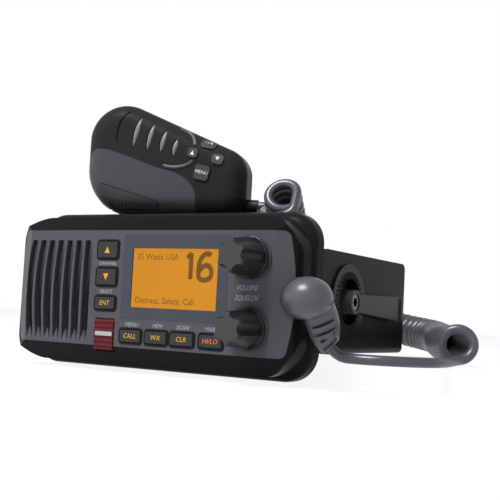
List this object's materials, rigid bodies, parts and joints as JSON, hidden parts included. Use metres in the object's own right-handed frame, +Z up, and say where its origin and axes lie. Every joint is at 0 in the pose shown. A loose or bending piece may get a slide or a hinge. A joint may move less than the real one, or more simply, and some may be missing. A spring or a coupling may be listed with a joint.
{
  "type": "marine radio",
  "caption": "Fixed-mount marine radio tilting in a U-shaped bracket, with louvred speaker, amber display, keys, knobs and a hand microphone on a curly cord.",
  "frame": {"origin": "centre of the bracket's four holes, on the underside of its rubber pads", "axes": "+Z up out of the mounting surface, -Y towards the user who faces the front panel, +X to that user's right"},
  "size_m": [0.2406, 0.219, 0.1438],
  "materials": {
    "panel_paint": "satin metallic grey paint",
    "bezel_plastic": "smooth black",
    "gasket_rubber": "dull",
    "housing_plastic": "fine texture",
    "display_trim": "satin grey trim",
    "lens_glass": "clear",
    "lcd_amber": "back-lit amber",
    "mat_rubber": "silicone",
    "board_laminate": "green laminate",
    "flap_red": "clear red, moulded",
    "distress_red": "smooth",
    "pin_steel": "drawn",
    "cloth_fabric": "woven",
    "speaker_steel": "pressed",
    "chassis_cast": "black powder coat",
    "cover_sheet": "black",
    "screw_steel": "plain",
    "socket_chrome": "plated",
    "inlet_plastic": "moulded",
    "insert_brass": "turned",
    "bracket_paint": "black powder coat",
    "pad_rubber": "dull",
    "collar_plastic": "satin",
    "boot_rubber": "smooth grey",
    "key_plastic": "satin grey, lit legend",
    "knob_plastic": "satin",
    "control_steel": "turned",
    "ring_plastic": "satin",
    "lever_plastic": "smooth black",
    "clamp_steel": "turned",
    "mic_plastic": "smooth black",
    "grip_plastic": "satin grey",
    "ptt_plastic": "ribbed satin",
    "capsule_steel": "pressed can",
    "stud_steel": "turned",
    "relief_rubber": "dull",
    "mic_key_rubber": "satin, white legend",
    "cord_rubber": "smooth grey"
  },
  "bodies": {
    "bracket": {"bracket": "bracket_paint", "ratchet_ring_right": "ring_plastic", "ratchet_ring_left": "ring_plastic", "mounting_pads": "pad_rubber"},
    "radio": {"front_panel": "panel_paint", "bezel": "bezel_plastic", "housing_gasket": "gasket_rubber", "front_housing": "housing_plastic", "display_frame": "display_trim", "display_lens": "lens_glass", "lcd_module": "lcd_amber", "key_mat": "mat_rubber", "panel_board": "board_laminate", "hinge_pin": "pin_steel", "speaker_cloth": "cloth_fabric", "loudspeaker": "speaker_steel", "chassis": "chassis_cast", "bottom_cover": "cover_sheet", "cover_screws": "screw_steel", "main_board": "board_laminate", "antenna_socket": "socket_chrome", "power_inlet": "inlet_plastic", "pivot_inserts": "insert_brass", "cord_collar": "collar_plastic", "cord_boot": "boot_rubber", "volume_control": "control_steel", "squelch_control": "control_steel", "cord_lead": "cord_rubber", "cord_coil": "cord_rubber", "cord_tail": "cord_rubber"},
    "handset": {"mic_front_shell": "mic_plastic", "mic_rear_shell": "mic_plastic", "mic_grip_panel": "grip_plastic", "mic_board": "board_laminate", "mic_capsule": "capsule_steel", "hang_button": "stud_steel", "mic_relief": "relief_rubber", "mic_screws": "screw_steel"},
    "lever_right": {"clamp_lever_right": "lever_plastic", "clamp_screw_right": "clamp_steel"},
    "lever_left": {"clamp_lever_left": "lever_plastic", "clamp_screw_left": "clamp_steel"},
    "channel_up_key": {"channel_up_key": "key_plastic"},
    "channel_down_key": {"channel_down_key": "key_plastic"},
    "enter_key": {"enter_key": "key_plastic"},
    "function_key_1": {"function_key_1": "key_plastic"},
    "function_key_2": {"function_key_2": "key_plastic"},
    "function_key_3": {"function_key_3": "key_plastic"},
    "function_key_4": {"function_key_4": "key_plastic"},
    "mic_channel_key": {"mic_channel_key": "mic_key_rubber"},
    "mic_up_key": {"mic_up_key": "mic_key_rubber"},
    "mic_down_key": {"mic_down_key": "mic_key_rubber"},
    "mic_menu_key": {"mic_menu_key": "mic_key_rubber"},
    "distress_flap": {"distress_flap": "flap_red"},
    "distress_button": {"distress_button": "distress_red"},
    "volume_knob": {"volume_knob": "knob_plastic"},
    "squelch_knob": {"squelch_knob": "knob_plastic"},
    "mic_ptt_bar": {"mic_ptt_bar": "ptt_plastic"}
  },
  "joints": [
    {"name": "bracket_tilt", "type": "hinge", "parent": "bracket", "child": "radio", "pos_m": [0, -0.0265, 0.0293], "axis": [1, 0, 0], "range_deg": [-5, 15]},
    {"name": "lever_right_turn", "type": "hinge", "parent": "bracket", "child": "lever_right", "pos_m": [0.085, -0.0265, 0.0293], "axis": [1, 0, 0], "range_deg": [0, 100]},
    {"name": "lever_left_turn", "type": "hinge", "parent": "bracket", "child": "lever_left", "pos_m": [-0.085, -0.0265, 0.0293], "axis": [1, 0, 0], "range_deg": [0, 100]},
    {"name": "volume_turn", "type": "hinge", "parent": "radio", "child": "volume_knob", "pos_m": [0.0635, -0.092, 0.0463], "axis": [0, 1, 0], "range_deg": [0, 300]},
    {"name": "squelch_turn", "type": "hinge", "parent": "radio", "child": "squelch_knob", "pos_m": [0.0635, -0.092, 0.0133], "axis": [0, 1, 0], "range_deg": [0, 300]},
    {"name": "channel_up_key_press", "type": "slide", "parent": "radio", "child": "channel_up_key", "axis": [0, 1, 0], "range_m": [0, 0.0008], "stiffness_N_per_m": 600},
    {"name": "channel_down_key_press", "type": "slide", "parent": "radio", "child": "channel_down_key", "axis": [0, 1, 0], "range_m": [0, 0.0008], "stiffness_N_per_m": 600},
    {"name": "enter_key_press", "type": "slide", "parent": "radio", "child": "enter_key", "axis": [0, 1, 0], "range_m": [0, 0.0008], "stiffness_N_per_m": 600},
    {"name": "function_key_1_press", "type": "slide", "parent": "radio", "child": "function_key_1", "axis": [0, 1, 0], "range_m": [0, 0.0008], "stiffness_N_per_m": 600},
    {"name": "function_key_2_press", "type": "slide", "parent": "radio", "child": "function_key_2", "axis": [0, 1, 0], "range_m": [0, 0.0008], "stiffness_N_per_m": 600},
    {"name": "function_key_3_press", "type": "slide", "parent": "radio", "child": "function_key_3", "axis": [0, 1, 0], "range_m": [0, 0.0008], "stiffness_N_per_m": 600},
    {"name": "function_key_4_press", "type": "slide", "parent": "radio", "child": "function_key_4", "axis": [0, 1, 0], "range_m": [0, 0.0008], "stiffness_N_per_m": 600},
    {"name": "distress_button_press", "type": "slide", "parent": "radio", "child": "distress_button", "axis": [0, 1, 0], "range_m": [0, 0.0008], "stiffness_N_per_m": 600},
    {"name": "distress_flap_lift", "type": "hinge", "parent": "radio", "child": "distress_flap", "pos_m": [-0.0209, -0.0914, 0.013], "axis": [-1, 0, 0], "range_deg": [0, 100], "stiffness_Nm_per_rad": 0.004, "springref_deg": -17.19},
    {"name": "handset_lift", "type": "slide", "parent": "radio", "child": "handset", "axis": [0, 0, 1], "range_m": [0, 0.06]},
    {"name": "ptt_press", "type": "slide", "parent": "handset", "child": "mic_ptt_bar", "axis": [-0.309, 0.9511, 0], "range_m": [0, 0.0012], "stiffness_N_per_m": 800},
    {"name": "mic_channel_key_press", "type": "slide", "parent": "handset", "child": "mic_channel_key", "axis": [-0.309, 0.9511, 0], "range_m": [0, 0.0008], "stiffness_N_per_m": 600},
    {"name": "mic_up_key_press", "type": "slide", "parent": "handset", "child": "mic_up_key", "axis": [-0.309, 0.9511, 0], "range_m": [0, 0.0008], "stiffness_N_per_m": 600},
    {"name": "mic_down_key_press", "type": "slide", "parent": "handset", "child": "mic_down_key", "axis": [-0.309, 0.9511, 0], "range_m": [0, 0.0008], "stiffness_N_per_m": 600},
    {"name": "mic_menu_key_press", "type": "slide", "parent": "handset", "child": "mic_menu_key", "axis": [-0.309, 0.9511, 0], "range_m": [0, 0.0008], "stiffness_N_per_m": 600}
  ]
}
